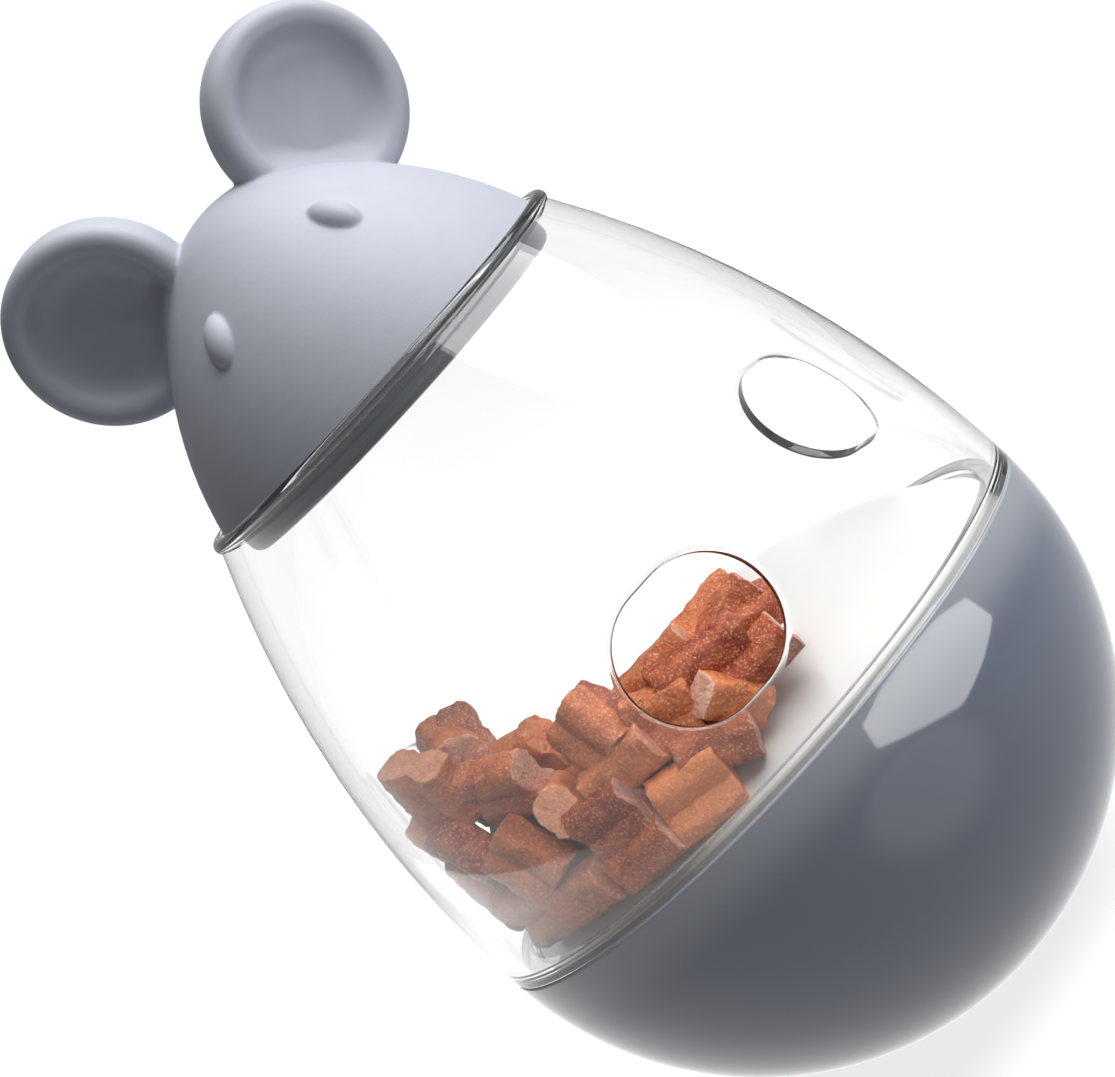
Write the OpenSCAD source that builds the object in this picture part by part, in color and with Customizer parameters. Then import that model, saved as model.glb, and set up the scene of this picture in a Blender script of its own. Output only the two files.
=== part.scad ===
// Tumbler treat toy in the shape of a mouse: a weighted round base, a clear treat chamber
// with three treat holes, and a soft head that pulls out of the neck for filling.
// The origin is the centre of the flat foot, +Z is up and the face looks along -Y.

/* [Base] */
// Outer radius of the base, and of the clear body where the two meet
base_r = 36; // [33:0.5:42]
// Wall of the base
base_wall = 2.2; // [1.8:0.1:2.6]
// Wall of the base's rim, outside the spigot
rim_wall = 1.6; // [1.3:0.1:2]
// Radius of the flat foot that the toy parks on
foot_r = 7; // [4:0.5:9]

/* [Ballast] */
// Height of the seat that the weight rests on, above the foot
ballast_seat = 3.6; // [3.2:0.1:4.5]
// Thickness of the weight
ballast_t = 9; // [7:0.5:11]
// Radius of the raised seat under the weight
seat_r = 9; // [8:0.5:10]
// Radius of the screw boss
boss_r = 4.4; // [3.8:0.1:5]
// Washer thickness
washer_t = 1; // [0.8:0.1:1.5]
// Washer radius
washer_r = 8; // [7:0.5:9]
// Screw shank radius
screw_r = 1.5; // [1.2:0.1:1.8]
// Length of the screw under its head
screw_len = 8; // [6:0.5:9]
// Screw head radius
screw_head_r = 3; // [2.6:0.1:3.5]
// Screw head height
screw_head_h = 2; // [1.6:0.1:2.5]
// Width of the cross recess in the screw head
recess_w = 0.8; // [0.6:0.1:1]
// Length of each bar of the cross recess
recess_len = 3.4; // [2.8:0.1:4]
// Depth of the cross recess
recess_depth = 1.1; // [0.8:0.1:1.4]

/* [Clear body] */
// Height from the seam to the seat of the head
body_h = 51.1; // [46:0.1:56]
// Wall of the clear body
body_wall = 1.8; // [1.6:0.1:2.2]
// Height of the thicker foot ring above the seam
step_h = 1.2; // [1:0.1:2]
// Wall of the spigot that goes into the base
spigot_wall = 1.8; // [1.5:0.1:2]
// Depth of the spigot below the seam
spigot_h = 4; // [3:0.5:5]
// Height of the cylindrical neck that grips the plug
neck_land = 1; // [0.8:0.1:1.4]
// Width of the seat under the head's edge
seat_w = 1.05; // [0.8:0.05:1.4]
// Width of the lip round the head's edge
lip_w = 1.35; // [1.2:0.05:1.6]
// How far the lip stands out of the wall
lip_proud = 0.55; // [0.3:0.05:0.7]
// Radius of the lip's round edge
lip_edge = 0.8; // [0.7:0.05:0.9]

/* [Treat holes] */
// Number of holes round the body
hole_count = 3; // [2:1:4]
// Radius of the round ends of a hole, half its height
hole_end_r = 7.2; // [5:0.1:8]
// Length of the straight top and bottom of a hole
hole_straight = 2.6; // [1:0.1:5]
// Height of the hole centres above the seam
hole_rise = 15; // [14:0.1:18]
// How far the clear body is turned from the face
hole_turn = 2.6; // [0:0.1:10]

/* [Floor dome] */
// Height of the dome's crown above the seam
floor_rise = 11.7; // [9:0.1:13]
// Wall of the dome
floor_wall = 1.6; // [1.3:0.1:2]
// Thickness of the flange that the spigot holds down
floor_flange = 1.6; // [1.3:0.1:2]
// Height of the dome's edge above the seam
floor_edge = 0.4; // [0:0.1:0.8]
// Width of the ledge in the base under the flange
ledge_w = 3.4; // [2.6:0.1:4]

/* [Head] */
// Radius of the head's lower edge
head_r = 22.4; // [20:0.1:25]
// Height of the crown above the seat
head_rise = 23.2; // [21:0.1:26]
// Radius of the curve of the flank, seen from the side
head_flank_r = 39.1; // [37:0.1:45]
// Radius of the curve of the crown
head_crown_r = 13.4; // [12:0.1:15]
// Wall of the head
head_wall = 2.2; // [1.8:0.1:2.6]
// Width of the head's thicker lower edge
head_edge_w = 3.4; // [3:0.1:4]

/* [Ears] */
// Outer radius of an ear
ear_r = 10.7; // [9:0.1:12]
// Thickness of an ear
ear_t = 4.9; // [4.4:0.1:6]
// Radius of the round front rim
ear_rim_r = 1.6; // [1.2:0.1:2]
// Radius of the round back edge
ear_back_r = 1.6; // [1.2:0.1:2]
// Depth of the dish below the rim
ear_dish = 2.4; // [1.6:0.1:2.8]
// Radius of the cove between the dish's flat floor and the rim
ear_cove_r = 4; // [3:0.5:5]
// How far the middle of an ear stands off the crown
ear_out = 5.9; // [4:0.1:7]
// Angle of an ear above the side of the crown
ear_angle = 42; // [35:1:50]
// How far an ear sits behind the middle of the head
ear_back = 2.3; // [0:0.1:4]
// How far an ear's face is turned outwards
ear_turn = 22; // [10:1:30]
// How far an ear leans forwards
ear_lean = 8; // [0:1:15]

/* [Eyes] */
// Length of an eye
eye_l = 6; // [4.5:0.1:7]
// Width of an eye
eye_w = 3.6; // [2.8:0.1:4.2]
// Radius of an eye's ends
eye_end_r = 1.1; // [0.8:0.05:1.3]
// How far an eye stands out of the head
eye_proud = 1.2; // [0.8:0.1:1.6]
// Height of an eye's centre above the head's seat
eye_z = 13.9; // [11:0.1:16]
// Angle between an eye and the middle of the face
eye_angle = 33; // [25:1:40]
// How far the top of an eye leans inwards
eye_lean = 5; // [0:1:15]

/* [Neck plug] */
// Depth of the skirt below the head's seat
plug_depth = 3.5; // [3.2:0.1:5]
// Radius of the skirt's lower edge
plug_edge = 1.3; // [0.8:0.1:1.6]
// Thickness of the plug's floor
plug_floor = 1.8; // [1.4:0.1:2.2]
// Wall of the spigot inside the head
plug_spigot_wall = 1.8; // [1.4:0.1:2.2]
// Height of that spigot above the seat
plug_spigot_h = 3.9; // [3:0.1:4.5]

/* [Clearances] */
// Radial clearance of the plug in the neck and of the head on the plug
run_gap = 0.06; // [0.03:0.01:0.1]
// Gap between flat faces that seat on each other
seat_gap = 0.1; // [0.05:0.01:0.2]
// Radial gap between the head's edge and the lip
edge_gap = 0.25; // [0.2:0.01:0.4]
// Radial gap between glued and clamped pieces
glue_gap = 0.1; // [0.05:0.01:0.2]
// Radial gap round the weight, the boss and the floor dome
loose_gap = 0.3; // [0.2:0.05:0.5]
// Radial gap of the screw in its pilot hole
screw_gap = 0.05; // [0.03:0.01:0.1]

/* [Hidden] */
$fn = 96;
// Facets of a circle of which only a short arc is used
long_arc_fn = 360;

// Overlap that lets one solid merge with or cut through the next
eps = 0.02;

// Heights above the foot
seam_z = sqrt(base_r * base_r - foot_r * foot_r);
seat_z = seam_z + body_h;
flange_top_z = seam_z - spigot_h - glue_gap;
ledge_z = flange_top_z - floor_flange;
ballast_top_z = ballast_seat + ballast_t;
boss_top_z = ballast_top_z - loose_gap;
washer_top_z = ballast_top_z + washer_t;
hole_z = seam_z + hole_rise;

// Radii at the seam
inner_base_r = base_r - base_wall;
rebate_r = base_r - rim_wall;
spigot_r = rebate_r - glue_gap;
spigot_in_r = spigot_r - spigot_wall;
ledge_r = rebate_r - ledge_w;
floor_r = spigot_in_r - loose_gap;

// Floor dome: sphere through the dome's edge and its crown
floor_cap_h = floor_rise - floor_edge;
floor_curve_r = (floor_r * floor_r + floor_cap_h * floor_cap_h) / (2 * floor_cap_h);

// Neck, from the head's lower edge
neck_r = head_r - seat_w;
plug_r = neck_r - run_gap;
lip_in_r = head_r + edge_gap;
lip_r = lip_in_r + lip_w;
head_bore_r = head_r - head_edge_w;
plug_spigot_r = head_bore_r - run_gap;

// Wall of the clear body: upright at the seam, and just under the lip at the seat
body_top_r = lip_r - lip_proud;
body_draw_in = base_r - body_top_r;
body_curve_r = (body_h ^ 2 + body_draw_in ^ 2) / (2 * body_draw_in);
body_axis_x = base_r - body_curve_r;

// Ballast
ballast_curve_r = inner_base_r - loose_gap;
ballast_hole_r = boss_r + loose_gap;
washer_hole_r = screw_r + loose_gap;
pilot_r = screw_r + screw_gap;
pilot_depth = screw_len - washer_t + loose_gap;

// Height of the bore in the head for the plug's spigot
head_bore_h = plug_spigot_h + seat_gap;
// Centre of the head's flank curve: on the circle round the lower edge and tangent to the crown
crown_z = head_rise - head_crown_r;
flank_reach = head_flank_r - head_crown_r;
edge_to_crown = norm([head_r, crown_z]);
along = (head_flank_r ^ 2 - flank_reach ^ 2 + edge_to_crown ^ 2) / (2 * edge_to_crown);
across = sqrt(head_flank_r ^ 2 - along ^ 2);
to_crown = [-head_r, crown_z] / edge_to_crown;
flank_c = [head_r, 0] + along * to_crown + across * [-to_crown[1], to_crown[0]];
// Height where the flank meets the crown
join_z = crown_z + head_crown_r * (crown_z - flank_c[1]) / flank_reach;

// Ear: front rim circle, and a dish with a flat floor and a cove tangent to the rim
ear_reach = head_crown_r + ear_out;
ear_x = ear_reach * cos(ear_angle);
ear_z = crown_z + ear_reach * sin(ear_angle);
ear_rim_c = [ear_r - ear_rim_r, ear_t / 2 - ear_rim_r];
dish_floor = ear_t / 2 - ear_dish;
cove_above_rim = dish_floor + ear_cove_r - ear_rim_c[1];
cove_to_rim = ear_cove_r + ear_rim_r;
dish_flat_r = ear_rim_c[0] - sqrt(cove_to_rim ^ 2 - cove_above_rim ^ 2);
dish_join_z = ear_rim_c[1] + ear_rim_r * cove_above_rim / cove_to_rim;

// Eye: four-arc oval turned about its long axis
eye_end_c = eye_l / 2 - eye_end_r;
eye_half_w = eye_w / 2;
eye_side_r = (eye_half_w ^ 2 + eye_end_c ^ 2 - eye_end_r ^ 2) / (2 * (eye_half_w - eye_end_r));
eye_join = eye_end_c * eye_side_r / (eye_side_r - eye_end_r);
eye_on_flank_r = flank_c[0] + sqrt(head_flank_r ^ 2 - (eye_z - flank_c[1]) ^ 2);
eye_slope = atan2(eye_z - flank_c[1], eye_on_flank_r - flank_c[0]);
eye_sink = eye_half_w - eye_proud;

// Right half of a ring profile between two heights
module band(r, z0, z1) {
  translate([0, z0]) square([r, z1 - z0]);
}

// Half disc to the right of the axis
module half_disc(r, centre) {
  intersection() {
    translate(centre) circle(r);
    translate([0, centre[1] - r]) square([centre[0] + r, 2 * r]);
  }
}

module base_shell() {
  color("slategray") difference() {
    rotate_extrude() difference() {
      intersection() {
        half_disc(base_r, [0, seam_z]);
        band(base_r, 0, seam_z);
      }
      difference() {
        half_disc(inner_base_r, [0, seam_z]);
        band(seat_r, 0, ballast_seat);
        band(boss_r, 0, boss_top_z);
        base_ledge();
      }
      band(rebate_r, ledge_z, seam_z + eps);
    }
    translate([0, 0, boss_top_z - pilot_depth]) cylinder(r = pilot_r, h = pilot_depth + eps);
  }
}

// Ledge under the floor's flange, with a sloping underside
module base_ledge() {
  polygon([
    [base_r, ledge_z - ledge_w - rim_wall],
    [ledge_r, ledge_z],
    [base_r, ledge_z]
  ]);
}

module ballast_weight() {
  color("dimgray") rotate_extrude() difference() {
    intersection() {
      half_disc(ballast_curve_r, [0, seam_z]);
      band(base_r, ballast_seat, ballast_top_z);
    }
    band(ballast_hole_r, 0, ballast_top_z + eps);
  }
}

module ballast_washer() {
  color("silver") translate([0, 0, ballast_top_z]) difference() {
    cylinder(r = washer_r, h = washer_t);
    translate([0, 0, -eps]) cylinder(r = washer_hole_r, h = washer_t + 2 * eps);
  }
}

module ballast_screw() {
  color("lightgray") translate([0, 0, washer_top_z]) difference() {
    union() {
      translate([0, 0, -screw_len]) cylinder(r = screw_r, h = screw_len + eps);
      cylinder(r = screw_head_r, h = screw_head_h);
    }
    for (turn = [0, 90]) {
      rotate(turn) translate([-recess_len / 2, -recess_w / 2, screw_head_h - recess_depth])
        cube([recess_len, recess_w, recess_depth + eps]);
    }
  }
}

module floor_dome() {
  color("whitesmoke") rotate_extrude() {
    difference() {
      floor_solid(floor_r, floor_curve_r, ledge_z);
      floor_solid(floor_r - floor_wall, floor_curve_r - floor_wall, ledge_z - eps);
    }
    difference() {
      band(spigot_r, ledge_z, flange_top_z);
      band(floor_r - floor_wall, ledge_z - eps, flange_top_z + eps);
    }
  }
}

// Domed plug shape of a given radius, down to a given height
module floor_solid(r, curve_r, z0) {
  intersection() {
    half_disc(curve_r, [0, seam_z + floor_rise - floor_curve_r]);
    band(r, z0, seam_z + floor_rise);
  }
}

module clear_body() {
  color("lightcyan", 0.4) rotate(hole_turn) difference() {
    rotate_extrude() clear_profile();
    for (i = [0:hole_count - 1]) rotate(i * 360 / hole_count) treat_hole();
  }
}

module clear_profile() {
  difference() {
    union() {
      intersection() {
        wall_side(body_curve_r);
        band(base_r, seam_z, seat_z);
      }
      lip();
      band(spigot_r, seam_z - spigot_h, seam_z + eps);
    }
    difference() {
      intersection() {
        wall_side(body_curve_r - body_wall);
        band(base_r, seam_z + step_h, seat_z);
      }
      neck_collar();
    }
    band(spigot_in_r, seam_z - spigot_h - eps, seam_z + step_h + eps);
    band(neck_r, seat_z - neck_land - eps, seat_z + eps);
    band(lip_in_r, seat_z, seat_z + lip_edge + eps);
  }
}

// Inside of the wall's side curve
module wall_side(curve_r) {
  translate([body_axis_x, seam_z]) circle(curve_r, $fn = long_arc_fn);
}

// Thickening of the wall inside the neck, with a sloping underside
module neck_collar() {
  drop = base_r - neck_r;
  polygon([
    [neck_r, seat_z],
    [neck_r, seat_z - neck_land],
    [base_r, seat_z - neck_land - drop],
    [base_r, seat_z]
  ]);
}

module lip() {
  intersection() {
    translate([lip_r - lip_edge, seat_z]) circle(lip_edge);
    band(lip_r, seat_z - lip_edge, seat_z + lip_edge);
  }
}

// Cutter for one treat hole, straight out along -Y
module treat_hole() {
  translate([0, 0, hole_z]) rotate([90, 0, 0]) {
    for (side = [-1, 1]) {
      translate([side * hole_straight / 2, 0, 0]) cylinder(r = hole_end_r, h = base_r);
    }
    translate([-hole_straight / 2, -hole_end_r, 0]) cube([hole_straight, 2 * hole_end_r, base_r]);
  }
}

module neck_plug() {
  color("dimgray") translate([0, 0, seat_z]) rotate_extrude() difference() {
    union() {
      band(plug_r, plug_edge - plug_depth, 0);
      band(plug_r - plug_edge, -plug_depth, 0);
      half_disc(plug_edge, [plug_r - plug_edge, plug_edge - plug_depth]);
      band(plug_spigot_r, -plug_depth, plug_spigot_h);
    }
    band(plug_spigot_r - plug_spigot_wall, plug_floor - plug_depth, plug_spigot_h + eps);
  }
}

module head_cap() {
  color("lightgray") translate([0, 0, seat_z + seat_gap]) difference() {
    union() {
      rotate_extrude() head_side(0);
      for (side = [-1, 1]) {
        ear(side);
        eye(side);
      }
    }
    rotate_extrude() {
      intersection() {
        head_side(head_wall);
        band(head_r, head_bore_h - eps, head_rise);
      }
      band(head_bore_r, -eps, head_bore_h);
    }
  }
}

// Profile of the head, drawn in by a wall
module head_side(wall) {
  intersection() {
    translate(flank_c) circle(head_flank_r - wall, $fn = long_arc_fn);
    band(head_r, 0, join_z);
  }
  intersection() {
    half_disc(head_crown_r - wall, [0, crown_z]);
    band(head_r, join_z - eps, head_rise);
  }
}

// Round ear with a dished face
module ear(side) {
  translate([side * ear_x, ear_back, ear_z]) rotate([0, 0, side * ear_turn]) rotate([90 + ear_lean, 0, 0])
    rotate_extrude() ear_profile();
}

module ear_profile() {
  back_c = [ear_r - ear_back_r, ear_back_r - ear_t / 2];
  translate(ear_rim_c) circle(ear_rim_r);
  translate(back_c) circle(ear_back_r);
  band(ear_r, back_c[1], ear_rim_c[1]);
  difference() {
    band(min(ear_rim_c[0], back_c[0]), -ear_t / 2, dish_join_z);
    band(dish_flat_r, dish_floor, dish_join_z + eps);
    half_disc(ear_cove_r, [dish_flat_r, dish_floor + ear_cove_r]);
  }
}

// Raised oval eye on the flank
module eye(side) {
  rotate([0, 0, side * eye_angle - 90]) translate([eye_on_flank_r, 0, eye_z]) rotate([0, -eye_slope, 0])
    translate([-eye_sink, 0, 0]) rotate([side * eye_lean, 0, 0]) rotate_extrude() eye_profile();
}

module eye_profile() {
  intersection() {
    translate([eye_half_w - eye_side_r, 0]) circle(eye_side_r);
    band(eye_half_w, -eye_join, eye_join);
  }
  for (end = [-1, 1]) half_disc(eye_end_r, [0, end * eye_end_c]);
}

base_shell();
ballast_weight();
ballast_washer();
ballast_screw();
floor_dome();
clear_body();
neck_plug();
head_cap();
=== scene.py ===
import math
import random

import bmesh
import bpy
from mathutils import Matrix, Vector, noise

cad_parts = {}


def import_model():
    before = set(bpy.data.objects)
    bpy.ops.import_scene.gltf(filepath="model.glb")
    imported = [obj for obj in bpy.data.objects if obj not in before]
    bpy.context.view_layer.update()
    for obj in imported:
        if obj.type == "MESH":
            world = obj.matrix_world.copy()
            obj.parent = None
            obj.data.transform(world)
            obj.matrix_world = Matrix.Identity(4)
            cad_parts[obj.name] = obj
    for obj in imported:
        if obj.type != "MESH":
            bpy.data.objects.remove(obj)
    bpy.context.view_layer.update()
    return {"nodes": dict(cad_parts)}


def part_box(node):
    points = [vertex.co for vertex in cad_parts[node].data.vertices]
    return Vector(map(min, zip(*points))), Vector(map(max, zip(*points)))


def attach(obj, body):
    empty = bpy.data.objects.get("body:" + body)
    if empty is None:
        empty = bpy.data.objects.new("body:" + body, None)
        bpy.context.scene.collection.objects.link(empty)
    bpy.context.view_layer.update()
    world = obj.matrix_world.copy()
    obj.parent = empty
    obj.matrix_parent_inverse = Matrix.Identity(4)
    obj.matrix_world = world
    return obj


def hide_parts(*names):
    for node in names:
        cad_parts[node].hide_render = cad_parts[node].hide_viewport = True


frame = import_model()

# Pieces are drawn in millimetres and scaled to metres when they are finished.
MM = 0.001
# Steps round a turned piece: a multiple of the number of treat holes.
ROUND = 192
# Largest turn between two neighbouring points of an arc, in degrees.
ARC_STEP = 3
# Faces that meet at more than this angle show a crisp edge.
CRISP = math.radians(40)
# Points of one part nearer than this are one point, and so are points where parts meet, in millimetres.
SAME = 1e-4
MEET = 1e-3


def box_mm(node):
    """Lowest and highest corner of a CAD node, in millimetres."""
    low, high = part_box(node)
    return low / MM, high / MM


# Places from the frame
_, base_high = box_mm("base_shell")
floor_low, floor_high = box_mm("floor_dome")
body_low, body_high = box_mm("clear_body")
plug_low, plug_high = box_mm("neck_plug")
head_low, _ = box_mm("head_cap")
base_r = base_high.x
seam_z = base_high.z
head_z = head_low.z

# Clear body, in millimetres
WALL = 1.8
STEP_H = 1.2
SPIGOT_WALL = 1.8
HOLE_COUNT = 3
HOLE_END_R = 7.2
HOLE_STRAIGHT = 2.6
HOLE_RISE = 15
HOLE_TURN = 2.6
HOLE_EDGE = 0.8
NECK_R = 21.35
NECK_LAND = 1
LIP_R = 24.0
LIP_IN_R = 22.65
LIP_EDGE = 0.8
LIP_PROUD = 0.55
BEAD_START = -45
FOOT_EDGE = 0.2
NECK_EDGE = 0.15
HOLE_EDGE_STEPS = 6
SEAM_GAP = 0.05

# Head, in millimetres above its lower edge
HEAD_R = 22.4
HEAD_RISE = 23.2
FLANK_R = 39.1
CROWN_R = 13.4
HEAD_WALL = 2.2
HEAD_BORE_R = 19.0
HEAD_BORE_H = 4.0
EAR_R = 10.7
EAR_T = 4.9
EAR_RIM_R = 1.6
EAR_DISH = 2.4
EAR_COVE_R = 4.0
EAR_OUT = 5.9
EAR_ANGLE = 42
EAR_BACK = 2.3
EAR_TURN = 22
EAR_LEAN = 8
EAR_FILLET = 2.6
EYE_L = 6.0
EYE_W = 3.6
EYE_PROUD = 1.2
EYE_Z = 13.9
EYE_ANGLE = 33
EYE_LEAN = 5
EAR_ROUND = 96
EYE_ROUND = 48
EYE_RINGS = 32


class Profile:
    """A line drawn in the XZ plane, which turns about the Z axis into a round piece."""

    def __init__(self, r, z):
        self.bm = bmesh.new()
        self.tip = self.bm.verts.new((r, 0, z))

    def to(self, r, z):
        """Goes straight to a point."""
        grown = bmesh.ops.extrude_vert_indiv(self.bm, verts=[self.tip])
        self.tip = grown["verts"][0]
        self.tip.co = (r, 0, z)
        return self

    def arc(self, r, z, degrees):
        """Goes round a centre; positive turns from +X towards +Z."""
        grown = bmesh.ops.spin(
            self.bm,
            geom=[self.tip],
            cent=(r, 0, z),
            axis=(0, -1, 0),
            angle=math.radians(degrees),
            steps=max(4, math.ceil(abs(degrees) / ARC_STEP)),
        )
        self.tip = next(g for g in grown["geom_last"] if isinstance(g, bmesh.types.BMVert))
        return self

    def turned(self, steps=ROUND):
        """The round piece that the line makes, with its faces outwards."""
        bmesh.ops.spin(
            self.bm,
            geom=self.bm.verts[:] + self.bm.edges[:],
            cent=(0, 0, 0),
            axis=(0, 0, 1),
            angle=math.tau,
            steps=steps,
            use_merge=True,
        )
        bmesh.ops.remove_doubles(self.bm, verts=self.bm.verts, dist=SAME)
        bmesh.ops.recalc_face_normals(self.bm, faces=self.bm.faces)
        return self.bm


def soften(bm, width, segments=3):
    """Rounds every crisp edge."""
    crisp = [e for e in bm.edges if e.is_manifold and e.calc_face_angle() > CRISP]
    bmesh.ops.bevel(
        bm,
        geom=crisp,
        offset=width,
        affect="EDGES",
        segments=segments,
        profile=0.5,
        material=-1,
        clamp_overlap=True,
    )
    return bm


def finished(name, bm, material, body, node=None):
    """An object of a mesh drawn in millimetres, riding on its body, in place of a named CAD node."""
    bmesh.ops.scale(bm, vec=(MM, MM, MM), verts=bm.verts)
    mesh = bpy.data.meshes.new(name)
    bm.to_mesh(mesh)
    bm.free()
    mesh.shade_smooth()
    mesh.set_sharp_from_angle(angle=CRISP)
    mesh.materials.append(material)
    obj = bpy.data.objects.new(name, mesh)
    bpy.context.scene.collection.objects.link(obj)
    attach(obj, body)
    if node:
        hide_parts(node)
    return obj


def even_faces(obj):
    """Keeps the flat faces beside a rounded edge flat to the eye."""
    modifier = obj.modifiers.new("face_normals", "WEIGHTED_NORMAL")
    modifier.keep_sharp = True


# Materials
# Height of the band under the base's rim that is painted paler as a painted glow of light, in millimetres.
PAINTED_RIM_GLOW = 8
# A mottle is this many times as wide as the grain on it.
MOTTLE = 12


def srgb(colour):
    """Linear RGBA of an sRGB hex colour."""
    channels = [int(colour[i:i + 2], 16) / 255 for i in (1, 3, 5)]
    linear = [c / 12.92 if c <= 0.04045 else ((c + 0.055) / 1.055) ** 2.4 for c in channels]
    return (*linear, 1.0)


def add(tree, kind, inputs=None, **settings):
    """Adds a node; an input given as an output socket is linked, and any other value is set."""
    node = tree.nodes.new(kind)
    for key, value in settings.items():
        setattr(node, key, value)
    for key, value in (inputs or {}).items():
        if isinstance(value, bpy.types.NodeSocket):
            tree.links.new(value, node.inputs[key])
        else:
            node.inputs[key].default_value = value
    return node


def blank(name):
    """An empty node material and its output."""
    material = bpy.data.materials.new(name)
    material.use_nodes = True
    tree = material.node_tree
    tree.nodes.clear()
    return material, tree, add(tree, "ShaderNodeOutputMaterial")


def plain_material(name, light, dark, roughness, grain_mm, bump, ior=1.5, **sockets):
    """A moulded or cast finish: a faint mottle between two close colours and a fine grain."""
    material, tree, output = blank(name)
    place = add(tree, "ShaderNodeTexCoord").outputs["Object"]
    fine = 1 / (grain_mm * MM)
    cloud = add(tree, "ShaderNodeTexNoise", {"Vector": place, "Scale": fine / MOTTLE, "Detail": 3.0})
    grain = add(tree, "ShaderNodeTexNoise", {"Vector": place, "Scale": fine, "Detail": 2.0})
    tint = add(
        tree,
        "ShaderNodeMix",
        {"Factor": cloud.outputs["Fac"], "A": srgb(dark), "B": srgb(light)},
        data_type="RGBA",
    )
    relief = add(
        tree,
        "ShaderNodeBump",
        {"Height": grain.outputs["Fac"], "Strength": bump, "Distance": grain_mm * MM},
    )
    shader = add(
        tree,
        "ShaderNodeBsdfPrincipled",
        {
            "Base Color": tint.outputs["Result"],
            "Normal": relief.outputs["Normal"],
            "Roughness": roughness,
            "IOR": ior,
            **sockets,
        },
    )
    tree.links.new(shader.outputs["BSDF"], output.inputs["Surface"])
    return material


def polished_abs():
    """Polished grey ABS: a deep gloss with a faint long wave, and a paler band painted at the rim as a
    painted glow of light.
    """
    material, tree, output = blank("polished_grey_abs")
    place = add(tree, "ShaderNodeTexCoord").outputs["Object"]
    height = add(tree, "ShaderNodeSeparateXYZ", {"Vector": place}).outputs["Z"]
    # Painted glow: a mask that rises towards the rim, where the colour is painted paler.
    thin = add(
        tree,
        "ShaderNodeMapRange",
        {"Value": height, "From Min": (seam_z - PAINTED_RIM_GLOW) * MM, "From Max": seam_z * MM},
        interpolation_type="SMOOTHERSTEP",
    )
    wave = add(tree, "ShaderNodeTexNoise", {"Vector": place, "Scale": 1 / (9 * MM), "Detail": 2.0})
    tint = add(
        tree,
        "ShaderNodeMix",
        {"Factor": wave.outputs["Fac"], "A": srgb("#778094"), "B": srgb("#7D869A")},
        data_type="RGBA",
    )
    # Painted glow: the grey is painted paler towards the rim, standing in for light.
    colour = add(
        tree,
        "ShaderNodeMix",
        {"Factor": thin.outputs["Result"], "A": tint.outputs["Result"], "B": srgb("#B4B9C2")},
        data_type="RGBA",
    )
    polish = add(
        tree,
        "ShaderNodeMapRange",
        {"Value": wave.outputs["Fac"], "To Min": 0.04, "To Max": 0.1},
    )
    relief = add(
        tree,
        "ShaderNodeBump",
        {"Height": wave.outputs["Fac"], "Strength": 0.04, "Distance": 0.2 * MM},
    )
    shader = add(
        tree,
        "ShaderNodeBsdfPrincipled",
        {
            "Base Color": colour.outputs["Result"],
            "Normal": relief.outputs["Normal"],
            "Roughness": polish.outputs["Result"],
            "IOR": 1.54,
        },
    )
    tree.links.new(shader.outputs["BSDF"], output.inputs["Surface"])
    return material


def soft_chew():
    """Soft pressed chew, cut to length: a moist red-brown skin in patches, with paler crumbs and cuts."""
    material, tree, output = blank("soft_pressed_chew")
    place = add(tree, "ShaderNodeAttribute", attribute_name="grain_place").outputs["Vector"]
    tone = add(
        tree,
        "ShaderNodeSeparateColor",
        {"Color": add(tree, "ShaderNodeAttribute", attribute_name="tone").outputs["Color"]},
    ).outputs
    patch = add(tree, "ShaderNodeTexNoise", {"Vector": place, "Scale": 1 / (1.8 * MM), "Detail": 3.0})
    crumb = add(tree, "ShaderNodeTexVoronoi", {"Vector": place, "Scale": 1 / (0.34 * MM)})
    rough = add(
        tree,
        "ShaderNodeTexNoise",
        {"Vector": place, "Scale": 1 / (0.6 * MM), "Detail": 4.0, "Roughness": 0.7},
    )
    mixed = add(tree, "ShaderNodeMath", {0: patch.outputs["Fac"], 1: tone["Red"]}, operation="ADD")
    spread = add(
        tree,
        "ShaderNodeMapRange",
        {"Value": mixed.outputs[0], "From Min": 0.5, "From Max": 1.4},
    )
    skin = add(
        tree,
        "ShaderNodeMix",
        {"Factor": spread.outputs["Result"], "A": srgb("#8A2E16"), "B": srgb("#E28652")},
        data_type="RGBA",
    )
    middle = add(
        tree,
        "ShaderNodeMapRange",
        {"Value": crumb.outputs["Distance"], "From Min": 0.45, "From Max": 0.2, "To Max": 0.8},
    )
    flecks = add(
        tree,
        "ShaderNodeMath",
        {0: middle.outputs["Result"], 1: rough.outputs["Fac"]},
        operation="MULTIPLY",
    )
    specked = add(
        tree,
        "ShaderNodeMix",
        {"Factor": flecks.outputs[0], "A": skin.outputs["Result"], "B": srgb("#F4BC8E")},
        data_type="RGBA",
    )
    pale = add(tree, "ShaderNodeMath", {0: tone["Green"], 1: rough.outputs["Fac"]}, operation="MULTIPLY")
    cut_face = add(
        tree,
        "ShaderNodeMix",
        {"Factor": pale.outputs[0], "A": specked.outputs["Result"], "B": srgb("#EBD2C2")},
        data_type="RGBA",
    )
    relief = add(
        tree,
        "ShaderNodeBump",
        {"Height": rough.outputs["Fac"], "Strength": 0.9, "Distance": 0.4 * MM},
    )
    shader = add(
        tree,
        "ShaderNodeBsdfPrincipled",
        {
            "Base Color": cut_face.outputs["Result"],
            "Normal": relief.outputs["Normal"],
            "Roughness": 0.42,
            "IOR": 1.45,
        },
    )
    tree.links.new(shader.outputs["BSDF"], output.inputs["Surface"])
    return material


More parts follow.
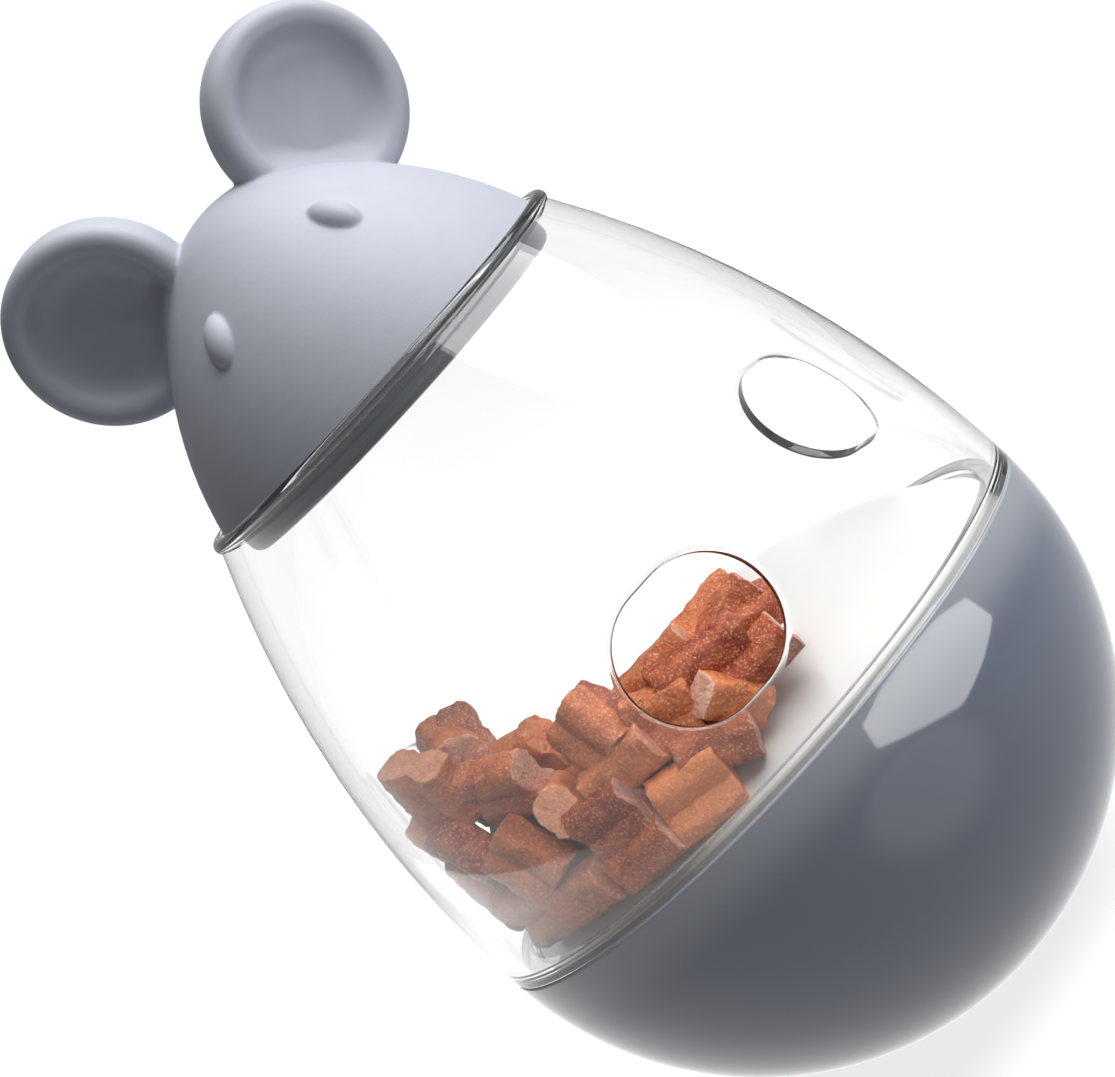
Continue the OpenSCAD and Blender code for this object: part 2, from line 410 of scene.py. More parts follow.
def clear_acrylic():
    """Clear moulded acrylic: it bends what is seen through it, and lamps shine through."""
    material, tree, output = blank("clear_moulded_acrylic")
    path = add(tree, "ShaderNodeLightPath").outputs
    through = add(
        tree,
        "ShaderNodeMath",
        {0: path["Is Shadow Ray"], 1: path["Is Diffuse Ray"]},
        operation="MAXIMUM",
    )
    glass = add(
        tree,
        "ShaderNodeBsdfPrincipled",
        {
            "Base Color": srgb("#FEFEFE"),
            "Roughness": 0.0,
            "IOR": 1.49,
            "Transmission Weight": 1.0,
        },
    )
    open_way = add(tree, "ShaderNodeBsdfTransparent", {"Color": srgb("#FAFAFA")})
    mix = add(
        tree,
        "ShaderNodeMixShader",
        {0: through.outputs[0], 1: glass.outputs[0], 2: open_way.outputs[0]},
    )
    tree.links.new(mix.outputs[0], output.inputs["Surface"])
    return material


# Grains finer than about a quarter of a millimetre are drawn that coarse, so that a picture shows them.
# Soft rubber: an even pale grey that takes light softly, without a sharp highlight.
SOFT_RUBBER = plain_material("matte_moulded_soft_rubber", "#C1C4CF", "#BABDC9", 0.55, 0.22, 0.06)
GLOSS_GREY = polished_abs()
# White ABS: a clean bright floor with a soft sheen.
WHITE_ABS = plain_material("white_moulded_abs", "#F4F4F2", "#F1F1EF", 0.3, 0.4, 0.03)
# Dark polypropylene: a duller, harder grey than the head above it, partly its own darker grey and partly
# painted shade of the neck's inside.
DARK_PP_AND_SHADE = plain_material("dark_grey_moulded_polypropylene_and_painted_shade", "#5C5F69", "#585B65", 0.35, 0.4, 0.05)
# Cast iron: dark, rough and grainy.
CAST_IRON = plain_material("cast_iron", "#4A4846", "#3A3836", 0.6, 0.8, 0.4, Metallic=1.0)
# Zinc plated steel: bright and faintly clouded.
ZINC_STEEL = plain_material("zinc_plated_steel", "#C8CACC", "#B8BABD", 0.28, 0.3, 0.05, Metallic=1.0)
CLEAR = clear_acrylic()
CHEW = soft_chew()


# Base: round bowl with a small flat foot, and the boss and ledge inside it
BASE_WALL = 2.2
RIM_WALL = 1.6
FOOT_R = 7
BOSS_R = 4.4
BOSS_H = 12.3
PILOT_R = 1.55
PILOT_FLOOR = 5
SEAT_R = 9
SEAT_H = 3.6
LEDGE_W = 3.4
LEDGE_START = 13
BOWL_EDGE = 0.25


def base_bowl():
    """Bowl with its foot, boss, weight seat and the ledge that carries the floor."""
    inner_r = base_r - BASE_WALL
    rebate_r = base_r - RIM_WALL
    seat_angle = math.degrees(math.acos(SEAT_R / inner_r))
    foot_angle = math.degrees(math.acos(FOOT_R / base_r))
    seat_low = seam_z - inner_r * math.sin(math.radians(seat_angle))
    outline = Profile(0, PILOT_FLOOR).to(PILOT_R, PILOT_FLOOR).to(PILOT_R, BOSS_H).to(BOSS_R, BOSS_H)
    outline.to(BOSS_R, SEAT_H).to(SEAT_R, SEAT_H).to(SEAT_R, seat_low)
    outline.arc(0, seam_z, seat_angle - LEDGE_START)
    rim_angle = math.degrees(math.asin(SEAM_GAP / base_r))
    rim_z = seam_z - SEAM_GAP
    rim_r = base_r * math.cos(math.radians(rim_angle))
    outline.to(rebate_r - LEDGE_W, floor_low.z).to(rebate_r, floor_low.z)
    outline.to(rebate_r, rim_z).to(rim_r, rim_z)
    outline.arc(0, seam_z, rim_angle - foot_angle).to(FOOT_R, 0).to(0, 0)
    return soften(outline.turned(), BOWL_EDGE)


even_faces(finished("base", base_bowl(), GLOSS_GREY, "body", "base_shell"))


# Floor: white dome with a flange that the clear body's spigot clamps
FLOOR_WALL = 1.6
FLANGE = 1.6
FLOOR_GAP = 0.3
FLOOR_EDGE = 0.4
FLOOR_ROUNDING = 0.3
dome_r = floor_high.x - SPIGOT_WALL - FLOOR_GAP
dome_rise = floor_high.z - seam_z - FLOOR_EDGE
dome_curve_r = (dome_r ** 2 + dome_rise ** 2) / (2 * dome_rise)
dome_z = floor_high.z - dome_curve_r


def floor_dome():
    """Dome, its hollow and the flange round it."""
    flange_r = floor_high.x
    sweep = math.degrees(math.asin(dome_r / dome_curve_r))
    in_r = dome_r - FLOOR_WALL
    in_curve_r = dome_curve_r - FLOOR_WALL
    in_sweep = math.degrees(math.asin(in_r / in_curve_r))
    flange_z = floor_low.z + FLANGE
    outline = Profile(0, floor_high.z).arc(0, dome_z, -sweep)
    outline.to(dome_r, flange_z).to(flange_r, flange_z).to(flange_r, floor_low.z).to(in_r, floor_low.z)
    outline.to(in_r, dome_z + math.sqrt(in_curve_r ** 2 - in_r ** 2)).arc(0, dome_z, in_sweep)
    return soften(outline.turned(), FLOOR_ROUNDING)


even_faces(finished("floor", floor_dome(), WHITE_ABS, "body", "floor_dome"))


# Clear body: the wall is a flat sheet with three holes that is rolled up, between a turned foot and neck
# Faces along a hole's part of the sheet, up its side, in all round, and from the hole's edge outwards.
PATCH = 28
PATCH_SIDE = 20
SECTOR = ROUND // HOLE_COUNT
RINGS = 9
PATCH_H = 12.4
seat_z = body_high.z - LIP_EDGE
body_h = seat_z - seam_z
draw_in = base_r - (LIP_R - LIP_PROUD)
curve_r = (body_h ** 2 + draw_in ** 2) / (2 * draw_in)
curve_x = base_r - curve_r
sector_w = base_r * math.tau / HOLE_COUNT
hole_s = curve_r * math.asin(HOLE_RISE / curve_r)
patch_w = sector_w * PATCH / SECTOR / 2


def on_wall(along, depth, up):
    """Point of the rolled wall for a point of the sheet: along the seam, into the wall and up the curve."""
    tilt = up / curve_r
    r = curve_x + (curve_r - depth) * math.cos(tilt)
    turn = along / base_r + math.radians(HOLE_TURN - 90)
    return Vector((r * math.cos(turn), r * math.sin(turn), seam_z + (curve_r - depth) * math.sin(tilt)))


def hole_edge(direction):
    """Point of a treat hole's edge on the flat sheet, seen from the hole's middle in a direction."""
    c = abs(math.cos(direction))
    s = abs(math.sin(direction))
    half = HOLE_STRAIGHT / 2
    if HOLE_END_R * c < half * s:
        reach = HOLE_END_R / s
    else:
        reach = half * c + math.sqrt(HOLE_END_R ** 2 - (half * s) ** 2)
    x = reach * math.cos(direction)
    z = HOLE_RISE + reach * math.sin(direction)
    r = curve_x + math.sqrt(curve_r ** 2 - z ** 2)
    return base_r * math.asin(x / r), curve_r * math.asin(z / curve_r)


def wall_sheet():
    """The flat sheet for one hole: rings from the hole out to a rectangle, and a strip on each side."""
    bm = bmesh.new()
    corners = [
        bm.verts.new((x * patch_w, 0, hole_s + z * PATCH_H))
        for x, z in ((-1, -1), (1, -1), (1, 1), (-1, 1))
    ]
    frame_edges = [bm.edges.new((corners[i], corners[(i + 1) % 4])) for i in range(4)]
    level = [frame_edges[0], frame_edges[2]]
    upright = [frame_edges[1], frame_edges[3]]
    bmesh.ops.subdivide_edges(bm, edges=level, cuts=PATCH - 1)
    bmesh.ops.subdivide_edges(bm, edges=upright, cuts=PATCH_SIDE - 1)
    grown = bmesh.ops.extrude_edge_only(bm, edges=bm.edges[:])["geom"]
    spokes = [e for e in bm.edges if e not in grown and len(e.link_faces) == 2]
    for v in (g for g in grown if isinstance(g, bmesh.types.BMVert)):
        along, up = hole_edge(math.atan2(v.co.z - hole_s, v.co.x))
        v.co = (along, 0, up)
    bmesh.ops.subdivide_edges(bm, edges=spokes, cuts=RINGS, use_grid_fill=True)
    strip = (SECTOR - PATCH) // 2
    for side in (-1, 1):
        edge = [
            e for e in bm.edges
            if e.is_boundary and all(abs(v.co.x - side * patch_w) < SAME for v in e.verts)
        ]
        for _ in range(strip):
            grown = bmesh.ops.extrude_edge_only(bm, edges=edge)["geom"]
            verts = [g for g in grown if isinstance(g, bmesh.types.BMVert)]
            edge = [g for g in grown if isinstance(g, bmesh.types.BMEdge)]
            bmesh.ops.translate(bm, verts=verts, vec=(side * sector_w / SECTOR, 0, 0))
    return bm


def wall():
    """The rolled wall, open at its foot and at the neck."""
    bm = wall_sheet()
    sheet = bm.faces[:]
    for i in range(1, HOLE_COUNT):
        copied = bmesh.ops.duplicate(bm, geom=sheet)["geom"]
        verts = [g for g in copied if isinstance(g, bmesh.types.BMVert)]
        bmesh.ops.translate(bm, verts=verts, vec=(i * sector_w, 0, 0))
    bmesh.ops.remove_doubles(bm, verts=bm.verts, dist=SAME)
    grown = bmesh.ops.extrude_face_region(bm, geom=bm.faces[:], use_keep_orig=True)["geom"]
    inner = [g for g in grown if isinstance(g, bmesh.types.BMVert)]
    bmesh.ops.translate(bm, verts=inner, vec=(0, WALL, 0))
    low = hole_s - PATCH_H
    high = hole_s + PATCH_H
    left = -sector_w / 2
    right = left + HOLE_COUNT * sector_w

    def on_border(face):
        """Whether a face closes the sheet's border."""
        x, _, z = face.calc_center_median()
        return min(abs(x - left), abs(x - right), abs(z - low), abs(z - high)) < MEET

    bmesh.ops.delete(bm, geom=[f for f in bm.faces if on_border(f)], context="FACES")
    bmesh.ops.recalc_face_normals(bm, faces=bm.faces)
    soften(bm, HOLE_EDGE, HOLE_EDGE_STEPS)
    for v in bm.verts:
        v.co = on_wall(*v.co)
    return bm


def wall_point(depth, up):
    """Radius and height of the wall at a distance up its curve."""
    tilt = up / curve_r
    return curve_x + (curve_r - depth) * math.cos(tilt), seam_z + (curve_r - depth) * math.sin(tilt)


def body_foot():
    """Spigot, shoulder and step under the wall."""
    up = hole_s - PATCH_H
    spigot_r = floor_high.x
    in_r = spigot_r - SPIGOT_WALL
    step_r = curve_x + math.sqrt((curve_r - WALL) ** 2 - STEP_H ** 2)
    outline = Profile(*wall_point(0, up)).arc(curve_x, seam_z, -math.degrees(up / curve_r))
    outline.to(spigot_r, seam_z).to(spigot_r, body_low.z).to(in_r, body_low.z).to(in_r, seam_z + STEP_H)
    outline.to(step_r, seam_z + STEP_H)
    step_tilt = math.asin(STEP_H / (curve_r - WALL))
    outline.arc(curve_x, seam_z, math.degrees(up / curve_r - step_tilt))
    return soften(outline.turned(), FOOT_EDGE)


def body_neck():
    """Neck above the wall: a flange inside, the seat for the head and a rounded lip."""
    up = hole_s + PATCH_H
    bead_r = LIP_R - LIP_EDGE
    bead_end = math.degrees(math.acos((LIP_IN_R - bead_r) / LIP_EDGE))
    bead = math.radians(BEAD_START)
    under_bead = (bead_r + LIP_EDGE * math.cos(bead), seat_z + LIP_EDGE * math.sin(bead))
    top_tilt = math.asin((under_bead[1] - seam_z) / curve_r)
    flange_z = seat_z - NECK_LAND
    flange_tilt = math.asin((flange_z - seam_z) / (curve_r - WALL))
    flange_r = curve_x + (curve_r - WALL) * math.cos(flange_tilt)
    outline = Profile(*wall_point(0, up)).arc(curve_x, seam_z, math.degrees(top_tilt - up / curve_r))
    outline.to(*under_bead).arc(bead_r, seat_z, bead_end - BEAD_START)
    outline.to(LIP_IN_R, seat_z).to(NECK_R, seat_z).to(NECK_R, flange_z).to(flange_r, flange_z)
    outline.arc(curve_x, seam_z, math.degrees(up / curve_r - flange_tilt))
    return soften(outline.turned(), NECK_EDGE)


def joined(*parts):
    """One mesh of several, with the points that meet merged."""
    whole = parts[0]
    for part in parts[1:]:
        mesh = bpy.data.meshes.new("part")
        part.to_mesh(mesh)
        part.free()
        whole.from_mesh(mesh)
        bpy.data.meshes.remove(mesh)
    bmesh.ops.remove_doubles(whole, verts=whole.verts, dist=MEET)
    bmesh.ops.recalc_face_normals(whole, faces=whole.faces)
    return whole


def turn_to_holes(bm):
    """Turns a round part so that its steps meet the wall's."""
    turn = Matrix.Rotation(math.radians(HOLE_TURN - 90), 3, "Z")
    bmesh.ops.rotate(bm, verts=bm.verts, cent=(0, 0, 0), matrix=turn)
    return bm


def clear_body():
    """Wall, foot and neck in one."""
    return joined(wall(), turn_to_holes(body_foot()), turn_to_holes(body_neck()))


even_faces(finished("clear_body_wall", clear_body(), CLEAR, "body", "clear_body"))


# Plug: cup with a rounded foot in the neck and a spigot up into the head
PLUG_EDGE = 1.3
PLUG_FLOOR = 1.8
PLUG_SPIGOT_R = 18.94
PLUG_SPIGOT_WALL = 1.8
PLUG_ROUNDING = 0.2


def plug_cup():
    """Cup with its spigot."""
    plug_r = plug_high.x
    low = plug_low.z
    in_r = PLUG_SPIGOT_R - PLUG_SPIGOT_WALL
    outline = Profile(0, low).to(plug_r - PLUG_EDGE, low).arc(plug_r - PLUG_EDGE, low + PLUG_EDGE, 90)
    outline.to(plug_r, seat_z).to(PLUG_SPIGOT_R, seat_z).to(PLUG_SPIGOT_R, plug_high.z)
    outline.to(in_r, plug_high.z).to(in_r, low + PLUG_FLOOR).to(0, low + PLUG_FLOOR)
    return soften(outline.turned(), PLUG_ROUNDING)


even_faces(finished("plug", plug_cup(), DARK_PP_AND_SHADE, "plug", "neck_plug"))


# Head: one soft moulding of a dome, two dished ears and two raised eyes
crown_z = HEAD_RISE - CROWN_R
# Step of the skin's grid, rounds that smooth it, and share of its faces that is kept.
SKIN = 0.2
SKIN_ROUNDS = 3
SKIN_KEPT = 0.42


def flank_centre():
    """Centre of the flank's curve, which passes the lower edge and meets the crown without a kink."""
    edge_to_crown = math.hypot(HEAD_R, crown_z)
    along = (FLANK_R ** 2 - (FLANK_R - CROWN_R) ** 2 + edge_to_crown ** 2) / (2 * edge_to_crown)
    across = math.sqrt(FLANK_R ** 2 - along ** 2)
    way = Vector((-HEAD_R, crown_z)) / edge_to_crown
    return Vector((HEAD_R, 0)) + along * way + across * Vector((-way.y, way.x))


flank = flank_centre()
join_tilt = math.atan2(crown_z - flank.y, -flank.x)


def above_dome(point):
    """Distance of a point outside the dome's surface."""
    r = math.hypot(point.x, point.y)
    if math.atan2(point.z - crown_z, r) > join_tilt:
        return math.hypot(r, point.z - crown_z) - CROWN_R
    return math.hypot(r - flank.x, point.z - flank.y) - FLANK_R


def dome():
    """Hollow dome, open below."""
    bore_z = HEAD_BORE_H
    wall_r = FLANK_R - HEAD_WALL
    edge_tilt = math.atan2(-flank.y, HEAD_R - flank.x)
    bore_tilt = math.asin((bore_z - flank.y) / wall_r)
    outline = Profile(HEAD_R, 0)
    outline.arc(flank.x, flank.y, math.degrees(join_tilt - edge_tilt))
    outline.arc(0, crown_z, 90 - math.degrees(join_tilt))
    outline.to(0, HEAD_RISE - HEAD_WALL)
    outline.arc(0, crown_z, math.degrees(join_tilt) - 90)
    outline.arc(flank.x, flank.y, math.degrees(bore_tilt - join_tilt))
    outline.to(HEAD_BORE_R, bore_z).to(HEAD_BORE_R, 0).to(HEAD_R, 0)
    return outline.turned()


def ear(side):
    """Round ear with a soft rim and a dished face that runs up to the dome."""
    half_t = EAR_T / 2
    rim_r = EAR_R - EAR_RIM_R
    rim_z = half_t - EAR_RIM_R
    floor_z = half_t - EAR_DISH
    cove_z = floor_z + EAR_COVE_R
    steep = math.acos((cove_z - rim_z) / (EAR_COVE_R + EAR_RIM_R))
    flat_r = rim_r - (EAR_COVE_R + EAR_RIM_R) * math.sin(steep)
    outline = Profile(0, -half_t).to(rim_r, -half_t).arc(rim_r, -rim_z, 90).to(EAR_R, rim_z)
    outline.arc(rim_r, rim_z, 90 + math.degrees(steep)).arc(flat_r, cove_z, -math.degrees(steep))
    outline.to(0, floor_z)
    bm = outline.turned(EAR_ROUND)
    reach = CROWN_R + EAR_OUT
    tilt = math.radians(EAR_ANGLE)
    place = Matrix.Translation((side * reach * math.cos(tilt), EAR_BACK, crown_z + reach * math.sin(tilt)))
    place = place @ Matrix.Rotation(math.radians(side * EAR_TURN), 4, "Z")
    place = place @ Matrix.Rotation(math.radians(90 + EAR_LEAN), 4, "X")
    for v in bm.verts:
        if v.co.z > floor_z - MEET and math.hypot(v.co.x, v.co.y) < rim_r:
            near = min(1, max(0, 1 - above_dome(place @ v.co) / EAR_FILLET))
            v.co.z += (half_t - v.co.z) * (1 - math.sqrt(1 - near ** 2))
    bmesh.ops.transform(bm, matrix=place, verts=bm.verts)
    return bm


def eye(side):
    """Raised oval eye on the flank."""
    half_w = EYE_W / 2
    r = flank.x + math.sqrt(FLANK_R ** 2 - (EYE_Z - flank.y) ** 2)
    slope = math.atan2(EYE_Z - flank.y, r - flank.x)
    bm = bmesh.new()
    bmesh.ops.create_uvsphere(bm, u_segments=EYE_ROUND, v_segments=EYE_RINGS, radius=half_w)
    bmesh.ops.scale(bm, vec=(1, 1, EYE_L / EYE_W), verts=bm.verts)
    place = Matrix.Rotation(math.radians(side * EYE_ANGLE - 90), 4, "Z")
    place = place @ Matrix.Translation((r, 0, EYE_Z))
    place = place @ Matrix.Rotation(-slope, 4, "Y") @ Matrix.Translation((EYE_PROUD - half_w, 0, 0))
    place = place @ Matrix.Rotation(math.radians(side * EYE_LEAN), 4, "X")
    bmesh.ops.transform(bm, matrix=place, verts=bm.verts)
    return bm


def one_skin(bm):
    """One closed skin over shapes that run into each other, creases softened and flat parts thinned."""
    mesh = bpy.data.meshes.new("skin")
    bm.to_mesh(mesh)
    bm.clear()
    obj = bpy.data.objects.new("skin", mesh)
    bpy.context.scene.collection.objects.link(obj)
    remesh = obj.modifiers.new("remesh", "REMESH")
    remesh.mode = "VOXEL"
    remesh.voxel_size = SKIN
    smooth = obj.modifiers.new("smooth", "SMOOTH")
    smooth.factor = 0.5
    smooth.iterations = SKIN_ROUNDS
    thin = obj.modifiers.new("thin", "DECIMATE")
    thin.ratio = SKIN_KEPT
    depsgraph = bpy.context.evaluated_depsgraph_get()
    bm.from_object(obj, depsgraph)
    bpy.data.objects.remove(obj)
    bpy.data.meshes.remove(mesh)
    return bm


def head_skin():
    """The head at its place on the plug."""
    bm = one_skin(joined(dome(), ear(-1), ear(1), eye(-1), eye(1)))
    bmesh.ops.translate(bm, verts=bm.verts, vec=(0, 0, head_z))
    return bm


finished("head", head_skin(), SOFT_RUBBER, "head", "head_cap")


# The weight and its fastening keep their CAD meshes
for name, finish in (
    ("ballast_weight", CAST_IRON),
    ("ballast_washer", ZINC_STEEL),
    ("ballast_screw", ZINC_STEEL),
):
    node = frame["nodes"][name]
    node.data.materials.clear()
    node.data.materials.append(finish)


# Treats: cut lengths of a soft strip with a groove down its middle, and sticks split off along the groove
# Lumps are given as pitch per millimetre and size; a treat wider than a stick has the groove.
CHEW_ROUND = 44
CHEW_STEPS = 10
CHEW_T = 4.1
CHEW_SQUARE = 0.58
STICK_MAX = 5.5
GROOVE = 0.36
GROOVE_W = 1.0
CUT_EDGE = 0.18
CUT_INSET = 0.7
GRAIN_SHIFT = 20
LUMPS = ((0.25, 0.25), (0.9, 0.22), (2.6, 0.16))
# Treats that lie against the wall, as the photo shows them: degrees round the toy from its front, distance
# from its axis, height, slope, tilt and spin in degrees, then width and length.
RESTING = (
    (0, 27.5, 47.5, -10, 0, 20, 4.7, 10),
    (8, 28, 44, 0, 10, 40, 4.4, 7.5),
    (-1, 29, 43.5, -60, -25, 10, 4.4, 7),
    (13, 24, 48, 10, 10, 0, 4.2, 6.5),
    (15, 25, 46.5, -10, 0, 30, 4, 6.5),
    (-7, 24, 49.5, 0, 0, 0, 4.2, 7.5),
    (10, 21, 49, 0, 0, 60, 4.2, 8.5),
    (-12, 28.5, 46.5, -20, 0, 0, 7, 6.5),
    (-9, 29.5, 41.5, -25, 0, 10, 4.6, 8),
    (-17, 30.2, 39.8, -10, -5, 5, 7.2, 7.5),
    (-24, 28.5, 50.5, -75, 20, 20, 6.6, 6.5),
    (-23, 29.5, 46.5, 0, 0, 15, 4.6, 8),
    (-31, 30.5, 43.5, -5, 0, 15, 7.6, 7),
    (-39, 29, 47.5, 10, 60, 0, 4.6, 7),
    (-46, 28.5, 52, -20, 0, 20, 7.4, 7.5),
    (-66, 28.5, 56, 60, 0, 10, 7.6, 7.5),
    (-67, 24, 57.5, -20, 20, 60, 4.6, 7),
    (-53, 30.5, 45.5, -70, 0, 0, 7.8, 7.5),
    (-66, 30.3, 49.5, -65, 0, 20, 4.8, 7.5),
    (-47, 30.8, 39.8, 0, 0, 5, 4.8, 8),
    (-31, 30.8, 39.2, 0, 0, 5, 4.6, 8),
    (-63, 30.4, 40.5, 0, 0, 5, 6.8, 8),
    (-78, 30.4, 44.5, -40, 0, 0, 7.6, 7),
    (-82, 30, 51.5, 20, 0, 10, 4.6, 7.5),
)
# A second row lies behind those nearest to the wall: how far in, round and down, and how far it may turn.
NEAR_WALL = 26
BEHIND = 6
BEHIND_ROUND = 3
BEHIND_DOWN = 1
BEHIND_TURN = 40
# Seeds: one for the turns and the paleness, one for the lumps
CHEW_SEED = 17
LUMP_SEED = 8


def chew(wide, long, groove, seed):
    """One treat along Z, with a skin of rough lumps and cut ends."""
    bm = bmesh.new()
    bmesh.ops.create_cone(
        bm, cap_ends=True, cap_tris=False, segments=CHEW_ROUND, radius1=1, radius2=1, depth=long
    )
    for v in bm.verts:
        x = math.copysign(abs(v.co.x) ** CHEW_SQUARE, v.co.x) * wide / 2
        dip = 1 - groove * math.exp(-(x / GROOVE_W) ** 2)
        v.co.y = math.copysign(abs(v.co.y) ** CHEW_SQUARE, v.co.y) * CHEW_T / 2 * dip
        v.co.x = x
    soften(bm, CUT_EDGE, 2)
    sides = [e for e in bm.edges if abs(e.verts[0].co.z - e.verts[1].co.z) > long / 2]
    bmesh.ops.subdivide_edges(bm, edges=sides, cuts=CHEW_STEPS, use_grid_fill=True)
    ends = [f for f in bm.faces if len(f.verts) > 4]
    bmesh.ops.inset_individual(bm, faces=ends, thickness=CUT_INSET)
    ends = [f for f in bm.faces if len(f.verts) > 4]
    bmesh.ops.poke(bm, faces=ends)
    tone = bm.verts.layers.float_color.new("tone")
    grain = bm.verts.layers.float_vector.new("grain_place")
    shade = random.Random(seed).random()
    paleness = random.Random(seed + CHEW_SEED).random()
    shift = Vector((seed, 2 * seed, 3 * seed))
    for v in bm.verts:
        is_cut = abs(v.co.z) > (long - CUT_EDGE) / 2
        v[tone] = (shade, paleness if is_cut else 0.0, 0.0, 1.0)
        v[grain] = (v.co + GRAIN_SHIFT * shift) * MM
        v.co += sum(
            (size * noise.noise_vector(v.co * pitch + shift) for pitch, size in LUMPS),
            Vector(),
        )
    return bm


def laid(around, r, z, slope, tilt, spin, wide, long, seed):
    """One treat, lying along the wall with its flat side to it before it is turned."""
    bm = chew(wide, long, GROOVE if wide > STICK_MAX else 0, seed)
    place = (
        Matrix.Rotation(math.radians(around), 4, "Z")
        @ Matrix.Translation((0, -r, z))
        @ Matrix.Rotation(math.radians(-slope), 4, "Y")
        @ Matrix.Rotation(math.radians(-tilt), 4, "Z")
        @ Matrix.Rotation(math.radians(90), 4, "Y")
        @ Matrix.Rotation(math.radians(spin), 4, "Z")
    )
    bmesh.ops.transform(bm, matrix=place, verts=bm.verts)
    return bm


def heap():
    """All the treats as they lie: those against the wall, and a row behind them on the domed floor."""
    rng = random.Random(CHEW_SEED)
    noise.seed_set(LUMP_SEED)
    treats = []
    for around, r, z, slope, tilt, spin, wide, long in RESTING:
        treats.append(laid(around, r, z, slope, tilt, spin, wide, long, len(treats) + 1))
        if r > NEAR_WALL:
            in_r = r - BEHIND
            floor_z = dome_z + math.sqrt(dome_curve_r ** 2 - in_r ** 2)
            in_z = max(floor_z + CHEW_T / 2, z - BEHIND_DOWN)
            turn = rng.uniform(-BEHIND_TURN, BEHIND_TURN)
            seed = len(treats) + 1
            treats.append(laid(around - BEHIND_ROUND, in_r, in_z, slope + turn, 0, turn, wide, long, seed))
    return joined(*treats)


finished("treats", heap(), CHEW, "body")


# Floor, world and lamps, in millimetres; a level of 1 is white
FLOOR_SIZE = 4000
# The floor round the toy keeps its shadow; farther away it turns to plain white.
SHADOW_FROM = 90
SHADOW_TO = 420
SHADOW_LEVEL = 0.8
# In gloss the floor is dimmer to the toy's right, and far away.
GLOSS_LEFT = 1.2
GLOSS_RIGHT = 0.25
DIM_TO = 160
GLOSS_FROM = 220
GLOSS_TO = 480
GLOSS_FAR = 0.25
# Levels of the room: the light that it gives, in gloss, and its ceiling through clear walls.
ROOM_LIGHT = 0.06
ROOM_GLOSS = 0.4
CEILING = 0.5
CEILING_FROM = 0.2
CEILING_TO = 0.6


def by_ray(tree, output, lit, shown):
    """Lights the toy with one face and shows another to each kind of ray that looks at it."""
    path = add(tree, "ShaderNodeLightPath").outputs
    face = lit
    for ray, shader in shown:
        face = add(tree, "ShaderNodeMixShader", {0: path[ray], 1: face.outputs[0], 2: shader.outputs[0]})
    tree.links.new(face.outputs[0], output.inputs["Surface"])


def floor_material():
    """White to the eye and through clear walls, with the toy's shadow; in gloss, dimmer to the right."""
    material, tree, output = blank("white_studio_floor")
    place = add(tree, "ShaderNodeTexCoord").outputs["Object"]
    away = add(tree, "ShaderNodeVectorMath", {0: place}, operation="LENGTH")
    white = add(
        tree,
        "ShaderNodeMapRange",
        {
            "Value": away.outputs["Value"],
            "From Min": SHADOW_FROM * MM,
            "From Max": SHADOW_TO * MM,
            "To Min": SHADOW_LEVEL,
            "To Max": 1.0,
        },
    )
    right = add(tree, "ShaderNodeSeparateXYZ", {"Vector": place}).outputs["X"]
    dim = add(
        tree,
        "ShaderNodeMapRange",
        {
            "Value": right,
            "From Min": 0.0,
            "From Max": DIM_TO * MM,
            "To Min": GLOSS_LEFT,
            "To Max": GLOSS_RIGHT,
        },
        interpolation_type="SMOOTHSTEP",
    )
    near = add(
        tree,
        "ShaderNodeMapRange",
        {
            "Value": away.outputs["Value"],
            "From Min": GLOSS_FROM * MM,
            "From Max": GLOSS_TO * MM,
            "To Min": 1.0,
            "To Max": GLOSS_FAR,
        },
        interpolation_type="SMOOTHSTEP",
    )
    level = add(
        tree, "ShaderNodeMath", {0: dim.outputs["Result"], 1: near.outputs["Result"]}, operation="MULTIPLY"
    )
    lit = add(tree, "ShaderNodeBsdfDiffuse", {"Color": srgb("#909298")})
    shade = add(tree, "ShaderNodeBsdfDiffuse", {"Color": srgb("#A0A0A0")})
    glow = add(tree, "ShaderNodeEmission", {"Color": srgb("#FFFFFF"), "Strength": white.outputs["Result"]})
    seen = add(tree, "ShaderNodeAddShader", {0: shade.outputs[0], 1: glow.outputs[0]})
    gloss = add(tree, "ShaderNodeEmission", {"Color": srgb("#FFFFFF"), "Strength": level.outputs[0]})
    shown = (("Is Glossy Ray", gloss), ("Is Transmission Ray", seen), ("Is Camera Ray", seen))
    by_ray(tree, output, lit, shown)
    return material


def floor():
    """The floor that the toy stands on."""
    bm = bmesh.new()
    bmesh.ops.create_grid(bm, x_segments=8, y_segments=8, size=FLOOR_SIZE * MM / 2)
    mesh = bpy.data.meshes.new("studio_floor")
    bm.to_mesh(mesh)
    bm.free()
    mesh.materials.append(floor_material())
    obj = bpy.data.objects.new("studio_floor", mesh)
    bpy.context.scene.collection.objects.link(obj)


